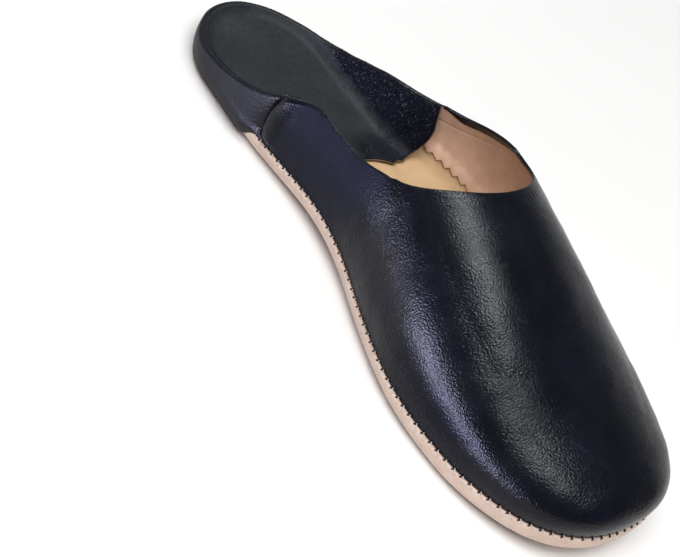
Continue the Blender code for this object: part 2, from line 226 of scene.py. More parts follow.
# The finish of the leather, and the painted shade in its reflections, by distance from the toe or by height:
# start and run
WAIST_DULL = 0.76
WAIST_FROM = (0.143, 0.022)
WAIST_TO = (0.204, -0.007)
HEEL_SATIN = 0.62
SATIN_FROM = (0.2125, 0.005)
GROOVE_AT = 0.0006
GROOVE_WIDTH = 0.0011
GROOVE_FOOT = (-0.002, 0.004)
# Painted shade: where the leather's reflections are tinted dimmer and bluer, on the waist and low on the wall
# near the toe
REFLECTION_SHADE_WAIST = (0.13, 0.026)
REFLECTION_SHADE_TOE = (0.02, 0.05)
REFLECTION_SHADE_END = (0.2085, -0.006)
REFLECTION_SHADE_LOW = (0.01, 0.013)

# Upper edge of the sole, and the recess that holds the insole
SOLE_TOP_RADIUS = 0.0008
SOLE_TOP_FLAT = 0.0009
SOLE_RECESS_AT = 0.0028
SOLE_RECESS = 0.0035
# Insole from its hidden side to its flat middle: inset from the outline, height over the sole
INSOLE_PROFILE = ((0.0031, -0.003), (0.0029, 0.0002), (0.0022, 0.001), (0.0014, 0.0033),
                  (0.0018, 0.0034), (0.0026, 0.0014), (0.0038, 0.0007), (0.0055, 0.0002), (0.0075, 0.0))
INSOLE_LOW_FROM = (0.19, 0.012)
INSOLE_LOW_LOSS = 0.7

# Whip stitches over the seam. Paths: share of the lean along the seam, inset, height over the sole
STITCH_PITCH = 0.0042
STITCH_RADIUS = 0.00024
STITCH_LEAN = 0.0013
STITCH_LEAN_WANDER = 0.0003
STITCH_WANDER = 0.0006
STITCH_PATH = ((-0.9, 0.00005, -0.0009), (-0.7, -0.00012, -0.0006), (-0.3, 0.00002, -0.0001),
               (0.1, 0.00035, 0.0003), (0.5, 0.0008, 0.0006), (0.7, 0.0011, 0.0007))
# Holes, a lean ahead of the stitch, drawn as near-black tubes of painted shade: distance along the seam,
# inset, height over the sole
HOLE_RADIUS = 0.00042
HOLE_PATH = ((-0.0004, 0.00085, 0.0004), (-0.0002, 0.00055, 0.0002), (0.0001, 0.0003, 0.0),
             (0.0003, 0.0003, -0.0003))
TUBE_SIDES = 6
TUBE_END = 0.45

# The camera, at the photograph's angle: sensor 36 mm, lens 1500 pixels, picture 680 pixels wide
CAMERA_AT = (-0.01514, 0.008818, -0.015618)
CAMERA_AZ = math.radians(-60.55)
CAMERA_EL = math.radians(39.39)
CAMERA_ROLL = math.radians(34.2)
CAMERA_FAR = 0.6105
CAMERA_LENS = 36.0 * 1500.0 / 680.0

# Lights: name, place, aim, width, height, power, colour. The first three only make highlights
LAMP_AIM = (0.0, 0.0, 0.03)
GLOSS_LAMPS = (
    ("side_box", (-1.15, 0.17, 0.12), LAMP_AIM, 1.24, 0.22, 42.0, (0.7, 0.7, 1.0)),
    ("top_box", (0.02, 0.25, 1.3), LAMP_AIM, 0.19, 1.7, 25.0, (0.93, 1.0, 0.98)),
    ("far_box", (1.25, 0.0, 0.22), LAMP_AIM, 1.2, 0.16, 0.8, (0.96, 1.0, 0.92)),
)
FILL_LAMP = ("fill", (-0.6, -0.3, 2.2), (0.0, 0.0, 0.0), 2.4, 2.4, 88.0, (1.0, 0.99, 0.98))
WORLD_COLOUR = (0.86, 0.92, 0.95, 1.0)
WORLD_STRENGTH = 0.09
FLOOR_HALF = 4

# Colours, each pair from dark to light
NAVY = ((0.0032, 0.0036, 0.0064), (0.0056, 0.0058, 0.012))
TRODDEN = ((0.015, 0.017, 0.02), (0.029, 0.032, 0.037))
TRODDEN_GRAIN = (0.007, 0.008, 0.011)
FULL_TINT = (1.0, 1.0, 1.0)
# Painted shade: a dimmer, bluer tint of the leather's reflections
REFLECTION_SHADE_TINT = (0.36, 0.38, 0.53)
# Painted shade: a near-black tint of the reflections on the crinkled flap wall
GLOSS_SHADE_TINT = (0.14, 0.15, 0.18)
LINING_PINK = ((0.66, 0.43, 0.32), (0.8, 0.56, 0.44))
INSOLE_TAN = ((0.44, 0.285, 0.15), (0.57, 0.395, 0.22))
SOLE_TAN = ((0.66, 0.49, 0.4), (0.78, 0.62, 0.53))
SOLE_FIBRE = (0.52, 0.36, 0.28)
THREAD_WHITE = ((0.5, 0.41, 0.34), (0.72, 0.62, 0.54))
# Raw edge brown, dark enough to also paint the shadow line under the lining's teeth
EDGE_BROWN_AND_SHADE = ((0.035, 0.016, 0.011), (0.2, 0.1, 0.055))
# Painted shade inside the stitch holes
HOLE_SHADE = ((0.01, 0.007, 0.007), (0.03, 0.018, 0.016))
FLOOR_PALE = ((0.8, 0.8, 0.8), (0.84, 0.84, 0.84))


def clamp(value, low=0.0, high=1.0):
    return min(max(value, low), high)


def smooth_step(value):
    t = clamp(value)
    return t * t * (3.0 - 2.0 * t)


def ease(value, start, run):
    """0 before the start and 1 past the run, with soft ends."""
    return smooth_step((value - start) / run)


def ramp(values, start, run):
    """The same for many values at once, with a straight slope."""
    return np.clip((values - start) / run, 0.0, 1.0)


def read_points(table, at):
    """A table of two columns, read on straight lines between its rows."""
    return float(np.interp(at, [row[0] for row in table], [row[1] for row in table]))


def read_table(table, column, along):
    """Read one column of a table on a smooth curve through its rows."""
    last = len(table) - 1
    along = clamp(along, table[0][0], table[last][0])
    row = max(i for i in range(last) if table[i][0] <= along or i == 0)

    def slope(i):
        a, b = max(i - 1, 0), min(i + 1, last)
        return (table[b][column] - table[a][column]) / (table[b][0] - table[a][0])

    span = table[row + 1][0] - table[row][0]
    t = (along - table[row][0]) / span
    here, after = table[row][column], table[row + 1][column]
    return (here * (2 * t**3 - 3 * t**2 + 1) + after * (3 * t**2 - 2 * t**3)
            + slope(row) * span * (t**3 - 2 * t**2 + t) + slope(row + 1) * span * (t**3 - t**2))


def fine_table(table, column, blur):
    """A table read at 1 mm steps and eased, so that gloss doesn't show its rows."""
    count = int(LENGTH * 1000) + 1
    raw = np.array([read_table(table, column, i / (count - 1)) for i in range(count)])
    reach = int(blur * 3)
    weights = np.exp(-0.5 * (np.arange(-reach, reach + 1) / blur) ** 2)
    weights /= weights.sum()
    head = 2 * raw[0] - raw[reach:0:-1]
    tail = 2 * raw[-1] - raw[-2:-reach - 2:-1]
    return np.convolve(np.concatenate([head, raw, tail]), weights, "valid")


def read_fine(values, s):
    at = clamp(s / LENGTH) * (len(values) - 1)
    i = min(int(at), len(values) - 2)
    t = at - i
    return float(values[i] * (1 - t) + values[i + 1] * t)


WIDTH_FINE = fine_table(OUTLINE, 1, TABLE_BLUR)
SPINE_FINE = fine_table(OUTLINE, 2, TABLE_BLUR)
TOP_FINE = fine_table(LAST_TOP, 1, TABLE_BLUR)
RIM_IN_FINE = fine_table(RIM, 1, RIM_BLUR)
RIM_OUT_FINE = fine_table(RIM, 2, RIM_BLUR)


def rounded(t, power):
    """1 in the middle of a rounded form and 0 at its end."""
    return (1.0 - t**power) ** (1.0 / power)


def rounding(distance, reach, power):
    return rounded(clamp(1.0 - distance / reach), power)


def spine(s):
    return BALL_WIDTH * read_fine(SPINE_FINE, s)


def side_width(s):
    return BALL_WIDTH * read_fine(WIDTH_FINE, s)


def half_width(s):
    toe = rounding(s, TOE_ROUNDING, TOE_POWER)
    return side_width(s) * toe * rounding(LENGTH - s, HEEL_ROUNDING, HEEL_POWER)


def lift(s):
    """Height of the sole's underside: toe spring and arch."""
    toe = TOE_SPRING * max(1.0 - s / TOE_SPRING_RUN, 0.0) ** 2
    across = (s / LENGTH - ARCH_START) / (ARCH_END - ARCH_START)
    return toe + (ARCH_LIFT * math.sin(math.pi * across) ** 2 if 0.0 < across < 1.0 else 0.0)


def edge_height(s):
    return SOLE_HEIGHT + lift(s)


def edge_radius(s):
    share = ease(s / LENGTH, UNDERCUT_START, UNDERCUT_FULL - UNDERCUT_START)
    return SOLE_EDGE_RADIUS + (SOLE_WAIST_RADIUS - SOLE_EDGE_RADIUS) * share


def last_height(s):
    return INSTEP_HEIGHT * read_fine(TOP_FINE, s) * rounding(s, TOE_RISE, 2.0)


def rim_height(s, side):
    height = INSTEP_HEIGHT * read_fine(RIM_IN_FINE if side < 0 else RIM_OUT_FINE, s)
    return max(height, 2.0 * (UPPER_WALL + FOLD_HOLLOW + CLEARANCE))


def fold_radius(s, side):
    """Radius of the fold at the rim, tight where the flap's raw edge hugs the wall."""
    loose = FOLD_LOOSENESS * (rim_height(s, side) - rim_height(LENGTH, side))
    full = UPPER_WALL + FOLD_HOLLOW + loose
    return FOLD_TIGHT + (full - FOLD_TIGHT) * ease(s, FOLD_AT * LENGTH, FOLD_TIGHT_RUN)


def fold_turn(s, side):
    rise = (rim_height(s, side) - rim_height(LENGTH, side)) / FOLD_TURN_RISE
    return FOLD_TURN_LOW + (math.pi / 2.0 - FOLD_TURN_LOW) * smooth_step(rise)


def place(x, s, z):
    return (x, s - LENGTH / 2.0, z)


def station_list(count):
    """Distances from the toe, evenly spaced along the outline's edge and denser at the crease."""
    turns = [math.pi * i / OUTLINE_SAMPLES for i in range(OUTLINE_SAMPLES + 1)]
    stops = [LENGTH * (1.0 - math.cos(turn)) / 2.0 for turn in turns]
    widths = [half_width(s) for s in stops]
    dense = [1.0 + DENSE_SHARE * math.exp(-((s - DENSE_AT) / DENSE_RUN) ** 4) for s in stops[1:]]
    steps = np.hypot(np.diff(stops), np.diff(widths)) * np.array(dense)
    run = np.concatenate([[0.0], np.cumsum(steps)])
    return [float(v) for v in np.interp(np.linspace(0.0, run[-1], count + 1), run, stops)]


def outline_loop(stations):
    """Toe tip, inner side to the heel, then the outer side back. (x, s, side)"""
    inner = [(spine(s) - half_width(s), s, -1) for s in stations[:-1]]
    outer = [(spine(s) + half_width(s), s, 1) for s in reversed(stations[1:])]
    return inner + outer


def outward_normals(loop):
    normals = []
    for i in range(len(loop)):
        before, after = loop[i - 1], loop[(i + 1) % len(loop)]
        dx, ds = after[0] - before[0], after[1] - before[1]
        size = math.hypot(dx, ds)
        normals.append((-ds / size, dx / size))
    return normals


class Shoe:
    """The sole's edge, cut into the columns that every mesh of the shoe stands on."""

    def __init__(self, stations):
        self.loop = outline_loop(stations)
        self.normals = outward_normals(self.loop)
        self.count = len(self.loop)
        self.half = self.count // 2
        self.side_start = next(i for i, s in enumerate(stations) if s > SIDE_COLLAR_AT * LENGTH)
        self.fold_start = next(i for i, s in enumerate(stations) if s > FOLD_AT * LENGTH)
        self.run = [0.0]
        for here, after in zip(self.loop[:-1], self.loop[1:]):
            self.run.append(self.run[-1] + math.dist(here[:2], after[:2]))

    def near(self, i):
        """How many columns lie between this one and the toe's tip."""
        return min(i, self.count - i)

    def turn(self, i):
        """0 at the toe's tip, whose column ends at the throat, and 1 where the side collar starts."""
        return self.run[self.near(i)] / self.run[self.side_start]

    def front(self, reach):
        """The columns within reach of the toe's tip, from the outer to the inner side."""
        return [*range(self.count - reach, self.count), *range(reach + 1)]


def section_share(height, s):
    return rounded(clamp(height / last_height(s)), SECTION_POWER)


def surface_height(x, s):
    across = min(abs(x - spine(s)) / max(half_width(s), 1e-6), 1.0)
    return last_height(s) * rounded(across, SECTION_POWER)


def side_bulge(height, foot_s):
    reach = SIDE_BULGE_REACH * INSTEP_HEIGHT * read_fine(TOP_FINE, foot_s + 2.0 * TOE_RISE)
    return SIDE_BULGE * math.sin(math.pi * min(height / reach, 1.0))


def crease(height, s, side):
    """How far the wall is tucked in around the crease."""
    offset = s - read_points(CREASE_LINE, height)
    start = ease(height, *CREASE_FOOT)
    if side > 0:
        start *= 1.0 - ease(height, *CREASE_OUTER)
    if offset > 0.0:
        tuck = CREASE_IN * math.exp(-offset / CREASE_RUN)
        trench = CREASE_TRENCH * math.exp(-(offset / CREASE_TRENCH_RUN) ** 2)
        rim = 1.0 - CREASE_RIM_LOSS * ease(height, *CREASE_RIM)
        return (tuck + trench) * start * rim
    turn_in = CREASE_TURN_IN * math.exp(offset / CREASE_TURN_IN_RUN)
    lip = CREASE_LIP * math.exp(-((offset + CREASE_LIP_AT) / CREASE_LIP_RUN) ** 2)
    return (turn_in - lip) * start


def skirt_drop(s):
    return SKIRT_DROP * ease(s, *HEEL_FROM)


def wall_offset(height, s, side):
    """How far the wall stands out from the sole's outline."""
    above = max(height, 0.0)
    lean = side_width(s) * (1.0 - section_share(above, s))
    front = side_bulge(above, s) - lean - UPPER_INSET
    heel = ease(s, *HEEL_FROM)
    if heel <= 0.0:
        return front
    drop = skirt_drop(s)
    rise = clamp((height + drop) / (drop + KEEL_HEIGHT))
    low = SKIRT_OUT + (KEEL_OUT - SKIRT_OUT) * math.sin(math.pi / 2.0 * rise) ** KEEL_POWER
    tilt = clamp((height - KEEL_HEIGHT) / (HEEL_LEAN_REACH * INSTEP_HEIGHT))
    start, run = KEEL_FULL_RIM
    small = clamp((rim_height(s, side) - start) / run, KEEL_SMALLEST)
    back = low * small * (1.0 - HEEL_LEAN * tilt) - HEEL_SECTION_SHARE * lean - HEEL_TOP_IN * tilt
    return (1.0 - heel) * front + heel * back


def wall_direction(normal, s, side):
    turn = ease(s / LENGTH, SIDE_COLLAR_AT, ARCH_END - SIDE_COLLAR_AT)
    x, y = (1.0 - turn) * side + turn * normal[0], turn * normal[1]
    size = math.hypot(x, y)
    return (x / size, y / size)


def run_along(path):
    """Distance of each point of a path from its first."""
    return np.concatenate([[0.0], np.cumsum(np.linalg.norm(np.diff(path, axis=0), axis=1))])


def even_points(path, rows):
    """Points on a path, closer together at its start."""
    path = np.array(path)
    run = run_along(path)
    at = np.array([(k / rows) ** ROW_POWER for k in range(rows + 1)]) * run[-1]
    return [tuple(row) for row in np.stack([np.interp(at, run, path[:, k]) for k in range(3)], axis=1)]


def collar_front(turn, side):
    """Place on the collar's front arc, from the throat to the side."""
    back, front = SIDE_COLLAR_AT * LENGTH, THROAT_AT * LENGTH
    middle = spine(0.5 * (front + back))
    lean = side_width(back) * section_share(rim_height(back, side), back)
    reach = abs(spine(back) + side * lean - middle)
    angle = math.pi / 2.0 * turn
    return (middle + side * reach * math.sin(angle), back - (back - front) * math.cos(angle))


def vamp_column(base, normal, turn):
    """A column of the vamp, from the sole up to the front of the collar."""
    x0, s0, side = base
    x1, s1 = collar_front(turn, side)
    foot = edge_height(s0) + CLEARANCE
    path = [place(x0 - normal[0] * UPPER_INSET, s0 - normal[1] * UPPER_INSET, foot)]
    for k in range(COLUMN_SAMPLES + 1):
        share = (k / COLUMN_SAMPLES) ** COLUMN_POWER
        x, s = x0 + (x1 - x0) * share, s0 + (s1 - s0) * share
        height = surface_height(x, max(s, 1e-5))
        out = side_bulge(height, s0) - UPPER_INSET
        foot = edge_height(s) + CLEARANCE + UPPER_FOOT
        path.append(place(x + normal[0] * out, s + normal[1] * out, foot + height))
    return even_points(path, WALL_ROWS)


def wall_column(base, normal, folded):
    """A column of the side or heel, from the sole up to the rim. At the flap it ends in half a fold."""
    x0, s0, side = base
    out = wall_direction(normal, s0, side)
    radius = fold_radius(s0, side) if folded else 0.0
    foot = edge_height(s0) + CLEARANCE
    top = rim_height(s0, side) - CLEARANCE
    drop = skirt_drop(s0)
    path = []
    for k in range(COLUMN_SAMPLES + 1):
        height = -drop + (top - radius + drop) * k / COLUMN_SAMPLES
        offset = wall_offset(height - UPPER_FOOT, s0, side) - crease(height, s0, side)
        path.append(place(x0 + out[0] * offset, s0 + out[1] * offset, foot + height))
    if not folded:
        return even_points(path, WALL_ROWS)
    rows = even_points(path, WALL_ROWS - FOLD_STEPS)
    last = np.array(path[-1])
    for k in range(1, FOLD_STEPS + 1):
        angle = math.pi / 2.0 * k / FOLD_STEPS
        inward = radius * (1.0 - math.cos(angle))
        rows.append((last[0] - out[0] * inward, last[1] - out[1] * inward,
                     last[2] + radius * math.sin(angle)))
    return rows


def near_flap_edge(s):
    """1 at the flap's raw edge, 0 further back."""
    return 1.0 - smooth_step((s / LENGTH - FOLD_AT) / FLAP_EDGE_FADE)


def flap_column(base, normal, top):
    """A column of the flap, from the top of the fold down to the insole."""
    x0, s0, side = base
    out = wall_direction(normal, s0, side)
    radius = fold_radius(s0, side)
    turn = fold_turn(s0, side)
    start = radius * math.sin(turn)
    drop = top[2] - radius * (1.0 - math.cos(turn)) - FLAP_FLAT - lift(s0)
    slope = FLAP_SLOPE_MIN + FLAP_SLOPE_SHARE * drop
    lead = FLAP_REACH * smooth_step((FLAP_LEAD_END - s0 / LENGTH) / (FLAP_LEAD_END - FOLD_AT))
    full = start + slope
    near_edge = near_flap_edge(s0)
    steps = []
    for k in range(1, FOLD_STEPS + 1):
        angle = turn * k / FOLD_STEPS
        steps.append((radius * math.sin(angle), top[2] - radius * (1.0 - math.cos(angle)), 0.0))
    for k in range(1, FLAP_SLOPE_ROWS + 1):
        t = k / FLAP_SLOPE_ROWS
        steps.append((start + slope * t, FLAP_FLAT + lift(s0) + drop * (1.0 - t) ** FLAP_SLOPE_POWER, t))
    tuck = crease(rim_height(s0, side), s0, side)
    rows = []
    for inward, z, t in steps:
        down = clamp((top[2] - z) / (top[2] - FLAP_FLAT))
        forward = lead * math.sin(math.pi / 2.0 * inward / full)
        forward += FLAP_WALL_FORWARD * near_edge**3 * math.sin(math.pi * down) ** FLAP_WALL_POWER
        deep = inward - tuck * smooth_step(FLAP_TUCK_GROW * inward / full)
        x = top[0] - out[0] * deep
        s = top[1] + LENGTH / 2.0 - out[1] * deep - forward
        at_edge = smooth_step(inward / full * FLAP_EDGE_GROW + 1.0 - FLAP_EDGE_GROW)
        s += read_points(FLAP_EDGE, x) * near_edge * at_edge
        rows.append(place(x, s, z + (lift(s) - lift(s0)) * smooth_step(t)))
    return rows


def waves(points, size, seed, octaves, height):
    """Smooth noise up to about a height, with waves of a given size along X, Y and Z."""
    shift = Vector((seed * 3.7, seed * 1.3, seed * 2.1))
    scale = Vector([1.0 / v for v in size])
    out = np.empty(len(points))
    for i, p in enumerate(points):
        q = Vector((p[0] * scale[0], p[1] * scale[1], p[2] * scale[2])) + shift
        value = noise.noise(q)
        for k in range(1, octaves):
            value += noise.noise(q * 2.1**k) * 0.5**k
        out[i] = value
    return height * out


def wander(at, row, layer=0.0):
    """Smooth noise between -1 and 1 along a line. Rows and layers keep the lines apart."""
    return noise.noise(Vector((at, row, layer)))


def gloss_share(points):
    """1 where the flap is glossy and crinkled, up the outer wall, and 0 where it is worn matte."""
    x, s = points[:, 0], points[:, 1] + LENGTH / 2.0
    ragged = waves(points, GLOSS_RAGGED_SIZE, 8, 2, GLOSS_RAGGED)
    climb = ramp(points[:, 2] - FLAP_FLAT - GLOSS_CLIMB + ragged, 0.0, GLOSS_CLIMB_RUN)
    front = ramp(x - GLOSS_LINE_X - (s - GLOSS_LINE_S) * GLOSS_LINE_SLANT, 0.0, GLOSS_LINE_RUN)
    front *= ramp(s, *GLOSS_FRONT_END) * GLOSS_FRONT_SHARE
    return np.maximum(climb, front) * ramp(s, *GLOSS_HEEL_END) * ramp(x, *GLOSS_OUTER_HALF)


def fold_depths(points):
    """Depth of the soft troughs and ridges at each point."""
    depth = np.zeros(len(points))
    for a, b, width, size in FOLDS:
        pa = np.array(place(*a))
        along = np.array(place(*b)) - pa
        t = np.clip(((points - pa) @ along) / (along @ along), 0.0, 1.0)
        gap = np.linalg.norm(points - pa - t[:, None] * along, axis=1)
        ends = np.sin(np.pi * (FOLD_END + (1.0 - 2.0 * FOLD_END) * t))
        depth += size * np.exp(-(gap / width) ** 2) * ends
    return depth


def grid_normals(vertices, faces):
    """Area-weighted vertex normals."""
    normals = np.zeros_like(vertices)
    quads = np.array([f if len(f) == 4 else (f[0], f[1], f[2], f[2]) for f in faces])
    corners = [vertices[quads[:, k]] for k in range(4)]
    cross = np.cross(corners[2] - corners[0], corners[3] - corners[1])
    for k in range(4):
        np.add.at(normals, quads[:, k], cross)
    size = np.linalg.norm(normals, axis=1, keepdims=True)
    return normals / np.maximum(size, 1e-12)


def add_object(name, data):
    made = bpy.data.objects.new(name, data)
    bpy.context.scene.collection.objects.link(made)
    return made


def make_piece(name, vertices, faces, material, replaced=None, smooth_angle=60.0):
    mesh = bpy.data.meshes.new(name)
    mesh.from_pydata(vertices, [], faces)
    mesh.validate()
    mesh.shade_smooth()
    mesh.set_sharp_from_angle(angle=math.radians(smooth_angle))
    mesh.materials.append(material)
    piece = add_object(name, mesh)
    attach(piece, "root")
    if replaced:
        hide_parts(replaced)
    return piece


def thicken(piece, thickness):
    """Give a sheet its real thickness, inwards, and return the modifier."""
    wall = piece.modifiers.new("thickness", "SOLIDIFY")
    wall.thickness = thickness
    wall.offset = -1.0
    wall.use_rim = True
    return wall


# Materials


def new_material(paint):
    """A material named after the function that gives the sockets of its shader."""
    material = bpy.data.materials.new(paint.__name__)
    material.use_nodes = True
    tree = material.node_tree
    dress(tree, tree.nodes["Principled BSDF"], paint(tree))
    return material


def dress(tree, made, sockets):
    """Link the node's sockets by name, or set those that are one number all over."""
    for name, value in sockets.items():
        if isinstance(value, float):
            made.inputs[name].default_value = value
        else:
            tree.links.new(value, made.inputs[name])


def texture_node(tree, kind, stretch=(1.0, 1.0, 1.0), **numbers):
    """A texture over the object's own coordinates, stretched."""
    source = tree.nodes.new("ShaderNodeTexCoord")
    mapping = tree.nodes.new("ShaderNodeMapping")
    mapping.inputs["Scale"].default_value = stretch
    tree.links.new(source.outputs["Object"], mapping.inputs["Vector"])
    made = tree.nodes.new(kind)
    dress(tree, made, {"Vector": mapping.outputs["Vector"], **numbers})
    return made


def noise_node(tree, scale, detail=2.0, roughness=0.5, distortion=0.0, stretch=(1.0, 1.0, 1.0)):
    return texture_node(tree, "ShaderNodeTexNoise", stretch, Scale=scale, Detail=detail,
                        Roughness=roughness, Distortion=distortion).outputs["Fac"]


def voronoi_node(tree, scale, feature="F1"):
    made = texture_node(tree, "ShaderNodeTexVoronoi", Scale=scale)
    made.feature = feature
    return made.outputs["Distance"]


def math_node(tree, operation, a, b):
    """Two sockets, or a socket and a number, worked out together."""
    made = tree.nodes.new("ShaderNodeMath")
    made.operation = operation
    for socket, value in zip(made.inputs, (a, b)):
        if isinstance(value, float):
            socket.default_value = value
        else:
            tree.links.new(value, socket)
    return made.outputs[0]


def remap(tree, value, low, high, to_low=0.0, to_high=1.0, smooth=False):
    made = tree.nodes.new("ShaderNodeMapRange")
    made.interpolation_type = "SMOOTHSTEP" if smooth else "LINEAR"
    dress(tree, made, {"Value": value, "From Min": low, "From Max": high,
                       "To Min": to_low, "To Max": to_high})
    return made.outputs["Result"]


def mix_colour(tree, factor, a, b):
    """Two colours, each a socket or three numbers, mixed by a socket."""
    made = tree.nodes.new("ShaderNodeMix")
    made.data_type = "RGBA"
    tree.links.new(factor, made.inputs["Factor"])
    for key, value in (("A", a), ("B", b)):
        socket = [x for x in made.inputs if x.name == key and x.type == "RGBA"][0]
        if isinstance(value, tuple):
            socket.default_value = value + (1.0,)
        else:
            tree.links.new(value, socket)
    return [x for x in made.outputs if x.type == "RGBA"][0]


def shades(tree, tone, low, high, pair):
    """A pair of colours, dark up to the low value of a tone and light from its high one."""
    return mix_colour(tree, remap(tree, tone, low, high), *pair)


def bump(tree, height, strength, distance, before=None):
    made = tree.nodes.new("ShaderNodeBump")
    dress(tree, made, {"Distance": distance, "Strength": strength, "Height": height})
    if before is not None:
        tree.links.new(before, made.inputs["Normal"])
    return made.outputs["Normal"]


def attribute(tree, name):
    made = tree.nodes.new("ShaderNodeAttribute")
    made.attribute_name = name
    return made.outputs["Fac"]


def upper_leather(tree):
    """Glossy navy-black goatskin: pebble grain, fine wrinkles across the vamp, matte where trodden; its
    reflections are tinted darker in places as painted shade.
    """
    trodden = attribute(tree, "trodden")
    crinkled = attribute(tree, "crinkled")
    tone = noise_node(tree, 38.0, 3.0, 0.55)
    rubbed = noise_node(tree, 620.0, 4.0, 0.65, stretch=(1.0, 0.55, 1.0))
    worn = shades(tree, tone, 0.3, 0.7, TRODDEN)
    worn = mix_colour(tree, remap(tree, rubbed, 0.4, 0.66, 0.0, 0.55), worn, TRODDEN_GRAIN)
    colour = mix_colour(tree, trodden, shades(tree, tone, 0.35, 0.68, NAVY), worn)

    glints = noise_node(tree, 900.0, 2.0, 0.6)
    rough = remap(tree, noise_node(tree, 70.0, 4.0, 0.6), 0.3, 0.75, 0.21, 0.31)
    specks = remap(tree, glints, 0.55, 0.66, 0.1, -0.12)
    for share, amount in ((trodden, 0.36), (attribute(tree, "creased"), 0.42), (crinkled, specks)):
        rough = math_node(tree, "ADD", rough, math_node(tree, "MULTIPLY", share, amount))

    # Painted shade: the crinkled flap wall's reflections are tinted near black, except at the glint specks
    gloss_shade = math_node(tree, "MULTIPLY", crinkled, remap(tree, glints, 0.55, 0.66, 1.0, 0.0))
    # Painted shade: reflections tinted dimmer and bluer on the inner waist and low on the wall near the toe
    tint = mix_colour(tree, attribute(tree, "reflection_shade"), FULL_TINT, REFLECTION_SHADE_TINT)
    tint = mix_colour(tree, gloss_shade, tint, GLOSS_SHADE_TINT)

    across = noise_node(tree, 1700.0, 2.0, 0.5, 0.15, stretch=(0.38, 1.0, 0.6))
    patches = remap(tree, noise_node(tree, 26.0), 0.36, 0.64, 0.45, 1.0, smooth=True)
    crumple = noise_node(tree, 760.0, 3.0, 0.6, 0.6)
    normal = bump(tree, voronoi_node(tree, 1500.0, "SMOOTH_F1"), 0.7, 0.00019)
    normal = bump(tree, noise_node(tree, 2300.0, 3.0, 0.6), 0.4, 0.0001, normal)
    normal = bump(tree, across, patches, 0.00016, normal)
    normal = bump(tree, crumple, crinkled, 0.0006, normal)
    return {"Base Color": colour, "Roughness": rough, "Specular IOR Level": 0.21,
            "Specular Tint": tint, "Normal": normal}


def lining_leather(tree):
    """Matte pinkish beige lining, with soft stains and a fine nap."""
    colour = shades(tree, noise_node(tree, 90.0, 4.0, 0.6), 0.3, 0.7, LINING_PINK)
    nap = noise_node(tree, 900.0, 4.0, 0.65)
    return {"Base Color": colour, "Roughness": 0.72, "Specular IOR Level": 0.3,
            "Normal": bump(tree, nap, 0.4, 0.0002)}


def insole_leather(tree):
    """Yellow-tan insole leather, a little darker in blotches."""
    tone = noise_node(tree, 60.0, 4.0, 0.6, stretch=(1.0, 0.6, 1.0))
    rough = remap(tree, noise_node(tree, 200.0, 3.0), 0.3, 0.7, 0.5, 0.68)
    return {"Base Color": shades(tree, tone, 0.3, 0.7, INSOLE_TAN), "Roughness": rough,
            "Normal": bump(tree, voronoi_node(tree, 900.0), 0.3, 0.00012)}


def sole_leather(tree):
    """Undyed pinkish tan sole leather, with layers and faint scuffs on its cut edge."""
    fibre = noise_node(tree, 500.0, 4.0, 0.6, stretch=(0.25, 0.25, 3.0))
    colour = shades(tree, noise_node(tree, 120.0, 4.0, 0.6), 0.3, 0.72, SOLE_TAN)
    colour = mix_colour(tree, remap(tree, fibre, 0.45, 0.75, 0.0, 0.35), colour, SOLE_FIBRE)
    return {"Base Color": colour, "Roughness": 0.62, "Specular IOR Level": 0.35,
            "Normal": bump(tree, fibre, 0.35, 0.0002)}


def thread(tree):
    """Off-white waxed thread with its twist."""
    twist = noise_node(tree, 1800.0)
    return {"Base Color": shades(tree, twist, 0.3, 0.7, THREAD_WHITE), "Roughness": 0.6,
            "Normal": bump(tree, twist, 0.4, 0.0001)}


def raw_edge_and_shade(tree):
    """Brown cut edge of the lining, darker in places; its dark brown also paints the shadow line where the
    lining's teeth lie on the insole.
    """
    tone = noise_node(tree, 420.0, 3.0, 0.6)
    return {"Base Color": shades(tree, tone, 0.32, 0.68, EDGE_BROWN_AND_SHADE), "Roughness": 0.75,
            "Normal": bump(tree, tone, 0.5, 0.0002)}


def stitch_hole_shade(tree):
    """Near-black inside of the stitch holes: painted shade."""
    tone = noise_node(tree, 1200.0)
    return {"Base Color": shades(tree, tone, 0.3, 0.7, HOLE_SHADE), "Roughness": 0.8}


def floor_paint(tree):
    colour = mix_colour(tree, noise_node(tree, 3.0), *FLOOR_PALE)
    return {"Base Color": colour, "Roughness": 0.7, "Specular IOR Level": 0.0}


# Camera, floor and lights


def build_camera():
    turned = math.cos(CAMERA_EL)
    back = Vector((math.sin(CAMERA_AZ) * turned, -math.cos(CAMERA_AZ) * turned, math.sin(CAMERA_EL)))
    right = Vector((math.cos(CAMERA_AZ), math.sin(CAMERA_AZ), 0.0))
    up = back.cross(right)
    across = math.cos(CAMERA_ROLL) * right + math.sin(CAMERA_ROLL) * up
    above = -math.sin(CAMERA_ROLL) * right + math.cos(CAMERA_ROLL) * up
    data = bpy.data.cameras.new("camera")
    data.lens = CAMERA_LENS
    data.clip_start = 0.01
    camera = add_object("camera", data)
    spot = Matrix.Translation(Vector(CAMERA_AT) + CAMERA_FAR * back)
    camera.matrix_world = spot @ Matrix((across, above, back)).transposed().to_4x4()
    bpy.context.scene.camera = camera


def area_light(name, at, towards, width, height, power, colour):
    data = bpy.data.lights.new(name, "AREA")
    data.shape = "RECTANGLE"
    data.size, data.size_y = width, height
    data.energy = power
    data.color = colour
    lamp = add_object(name, data)
    lamp.location = at
    lamp.rotation_euler = (Vector(towards) - Vector(at)).to_track_quat("-Z", "Y").to_euler()
    lamp.visible_camera = False
    return lamp


